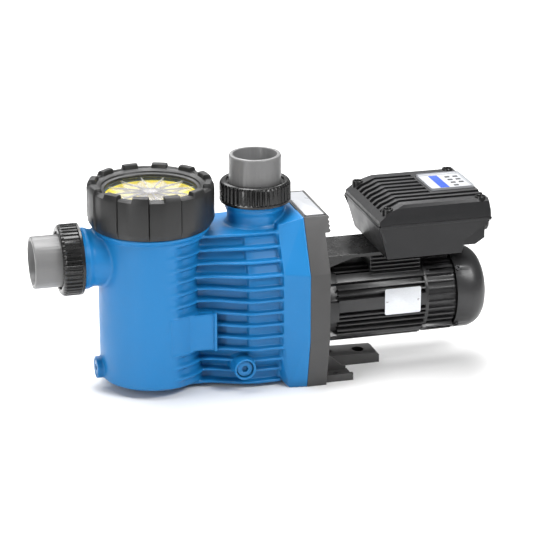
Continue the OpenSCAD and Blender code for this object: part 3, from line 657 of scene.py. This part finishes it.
def cover_star():
    """Frosted star of twelve points moulded under the clear cover."""
    place = Matrix.Translation((POT_X, 0, 0))
    step = 360 / STAR_POINTS
    outline = []
    for k in range(STAR_POINTS):
        outline += [polar(0.060, step * k), polar(0.044, step * k + step / 2)]
    pieces = [prism("star", outline, 0.2862, 0.2878, place)]
    blade = rectangle(0.010, -0.0009, 0.0625, 0.0009)
    for k in range(STAR_POINTS):
        spoke = place @ Matrix.Rotation(radians(step * k), 4, "Z")
        pieces.append(prism("spoke", blade, 0.2880, 0.2906, spoke))
    hub = [polar(0.0115, 15 * k) for k in range(24)]
    pieces.append(prism("hub", hub, 0.2880, 0.2909, place))
    star = joined("cover_star", pieces)
    star.data.materials.clear()
    star.data.materials.append(STAR_HAZE)
    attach(star, "lid")


def basket_petals():
    """Twelve yellow blades inside the basket's mouth, which carry its grip."""
    place = Matrix.Translation((POT_X, 0, 0))
    step = 360 / STAR_POINTS
    pieces = []
    for k in range(STAR_POINTS):
        middle = step * k + step / 2
        outline = [polar(0.020, middle - 10), polar(0.064, middle - 10.5),
                   polar(0.064, middle), polar(0.064, middle + 10.5), polar(0.020, middle + 10)]
        pieces.append(prism("petal", outline, 0.2760, 0.2785, place, 0.0006))
    for radius, low, high in ((0.0195, 0.274, 0.280), (0.0645, 0.274, 0.2846)):
        band = rectangle(radius - 0.0015, low, radius + 0.0015, high)
        pieces.append(turned("grip", 96, lambda turn: band, place))
    placed_on(joined("basket_petals", pieces), "basket", "basket_yellow")


# ---- Plates, panel and keys --------------------------------------------------


def rounded_rectangle(x0, y0, x1, y1, radius, steps=6):
    corners = ((x1 - radius, y1 - radius, 0), (x0 + radius, y1 - radius, 90),
               (x0 + radius, y0 + radius, 180), (x1 - radius, y0 + radius, 270))
    outline = []
    for x, y, start in corners:
        for k in range(steps + 1):
            dx, dy = polar(radius, start + 90 * k / steps)
            outline.append((x + dx, y + dy))
    return outline


def border(name, x0, y0, x1, y1, width, low, high, bevel):
    """Four strips round the inside of a rectangle."""
    strips = ((x0, y0, x1, y0 + width), (x0, y1 - width, x1, y1),
              (x0, y0, x0 + width, y1), (x1 - width, y0, x1, y1))
    return joined(name, [prism("strip", rectangle(*strip), low, high, bevel=bevel)
                         for strip in strips])


def rounded_plate(node, suffix, radius, bevel):
    """A plate or cap with round corners in the place of a flat CAD node."""
    low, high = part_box(node)
    plate = prism(node + suffix, rounded_rectangle(low.x, low.y, high.x, high.y, radius),
                  low.z, high.z, bevel=bevel)
    return take_place(plate, node)


def display_panel():
    """The CAD panel, with its holes, and with rounded outer corners."""
    low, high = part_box("display_panel")
    bm = flat_faced("display_panel")
    reach = 1e-5
    corners = [edge for edge in bm.edges
               if all(min(abs(vert.co.x - low.x), abs(vert.co.x - high.x)) < reach
                      and min(abs(vert.co.y - low.y), abs(vert.co.y - high.y)) < reach
                      for vert in edge.verts)]
    bmesh.ops.bevel(bm, geom=corners, offset=0.0045, segments=6, affect="EDGES", profile=0.5)
    take_place(smoothed(from_bmesh("display_panel.plate", bm), 30), "display_panel")


def lid_screw_places():
    """The middle of each of the four screws that hold the lid of the control box."""
    points = [vert.co for vert in NODES["control_lid_screws"].data.vertices]
    places = []
    for side in (-1, 1):
        for end in (min, max):
            x_edge = end(co.x for co in points)
            near = [co for co in points if abs(co.x - x_edge) < 0.012 and co.y * side > 0]
            xs, ys = [co.x for co in near], [co.y for co in near]
            places.append(((min(xs) + max(xs)) / 2, (min(ys) + max(ys)) / 2))
    return places


def screw_collars():
    """Raised collars round the screws of the control box, lower on the lid's slope."""
    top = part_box("control_lid")[1].z
    collars = []
    for x, y in lid_screw_places():
        on_slope = x < 0.1
        height = top - (0.006 if on_slope else -0.0015)
        ring = [(5.4 * MM, height - 0.018), (8.2 * MM, height - 0.018), (8.2 * MM, height),
                (7.6 * MM, height + 0.0008), (6.0 * MM, height + 0.0008), (5.4 * MM, height)]
        collars.append(turned("collar", 32, lambda turn: ring, Matrix.Translation((x, y, 0))))
    placed_on(joined("screw_collars", collars), "pump", "black_plastic")


def lid_lip():
    """Proud rim along the lower edge of the lid, with a dark strip under it as painted shadow in
    the joint.
    """
    low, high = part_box("control_base")
    x1, joint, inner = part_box("control_lid")[1].x, high.z, 0.0015
    for name, out, z0, z1, slot in (
            ("lid_lip", 0.0011, joint + 0.0004, joint + 0.0034, "box_black"),
            # Painted shadow: the near-black strip under the lip stands in for the shade in the
            # gap between lid and base
            ("lid_joint_shadow", 0.0003, joint - 0.0014, joint + 0.0004, "seal_rubber")):
        piece = border(name, low.x - out, -high.y - out, x1 + out, high.y + out,
                       inner + out, z0, z1, 0.0004)
        placed_on(piece, "pump", slot)


def pedestal_fins():
    """Cooling fins along both faces of the block that carries the control box."""
    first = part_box("box_bracket")[1].z - 0.0345
    x0, x1, face, depth, thick, pitch = 0.059, 0.133, 0.0374, 0.007, 0.0022, 0.006
    fins = []
    for side in (-1, 1):
        near, far = sorted((side * face, side * (face + depth)))
        for k in range(5):
            z = first + pitch * k
            fins.append(prism("fin", rectangle(x0, near, x1, far), z, z + thick, bevel=0.0007))
    placed_on(joined("pedestal_fins", fins), "pump", "motor_black")


def corner_slit_shadows():
    """Dark rods down the two corners of the control box next to the bracket, as painted shade in
    the narrow channels there.
    """
    low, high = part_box("control_base")
    slits = []
    for side in (-1, 1):
        start = Vector((low.x, side * high.y, high.z))
        down = Vector((0.42, -side * 0.13, -1)).normalized()
        rod = [(0.0001, -0.001), (0.0020, -0.001), (0.0020, 0.024), (0.0001, 0.026)]
        place = Matrix.Translation(start) @ down.to_track_quat("Z", "X").to_matrix().to_4x4()
        slits.append(turned("slit", 12, lambda turn: rod, place))
    # Painted shade: dark rods where the corner channels only lie in shadow
    placed_on(joined("corner_slit_shadows", slits), "pump", "seal_rubber")


def key_caps():
    for number in range(1, 8):
        rounded_plate(f"key_{number}", ".cap", 0.0014, 0.0005)


def label_border():
    """Dark moulded frame round the white label on top of the bracket."""
    low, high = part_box("type_label")
    piece = border("label_border", low.x, low.y, high.x, high.y, 0.0028,
                   high.z - 0.0002, high.z + 0.0005, 0.0002)
    placed_on(piece, "pump", "bracket_grey")


def upright(x, y, z):
    """Local x, y, z to the pump's X, Z and the front face, for parts on the near side."""
    return Matrix.Translation((x, y, z)) @ Matrix.Rotation(radians(90), 4, "X")


def rating_plate():
    low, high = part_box("rating_plate")
    outline = rounded_rectangle(low.x, low.z, high.x, high.z, 0.0025)
    thick = high.y - low.y
    pieces = [prism("plate", outline, 0, thick * 0.6, upright(0, high.y, 0), 0.0001)]
    rivets = []
    for x in (low.x + 0.004, high.x - 0.004):
        dome = [(0.0001, 0.0008), (0.0011, 0.0007), (0.0017, 0.0), (0.0001, 0.0)]
        rivets.append(turned("rivet", 20, lambda turn: dome,
                             upright(x, high.y - thick * 0.6, (low.z + high.z) / 2)))
    take_place(joined("rating_plate.sheet", pieces), "rating_plate")
    placed_on(joined("plate_rivets", rivets), "pump", "steel")


# Edge radius of the CAD shapes that are shown as they are
ROUNDED = {
    "motor_bracket": 0.0008, "box_bracket": 0.0006, "control_base": 0.0012,
    "control_lid": 0.0009, "cable_glands": 0.0003, "gland_nuts": 0.0003,
    "drive_end_shield": 0.0006, "motor_housing": 0.0004, "fan_end_shield": 0.0004,
    "fan_cover": 0.0004, "suction_tail": 0.0006, "discharge_tail": 0.0006,
    "strainer_basket": 0.0004,
}
# Finishes that differ from the node's own slot
OTHER_SLOT = {"box_bracket": "black_plastic"}

make_camera()
make_light()
make_floor()
for node, obj in NODES.items():
    dress(obj, SLOT_OF[node])
    smoothed(obj)
housing_shell()
union_nuts()
lid_ring()
cover_star()
basket_petals()
rounded_plate("type_label", ".plate", 0.002, 0.0002)
label_border()
rating_plate()
key_caps()
display_panel()
screw_collars()
lid_lip()
corner_slit_shadows()
pedestal_fins()
for node, bevel in ROUNDED.items():
    refined(node, bevel, OTHER_SLOT.get(node))
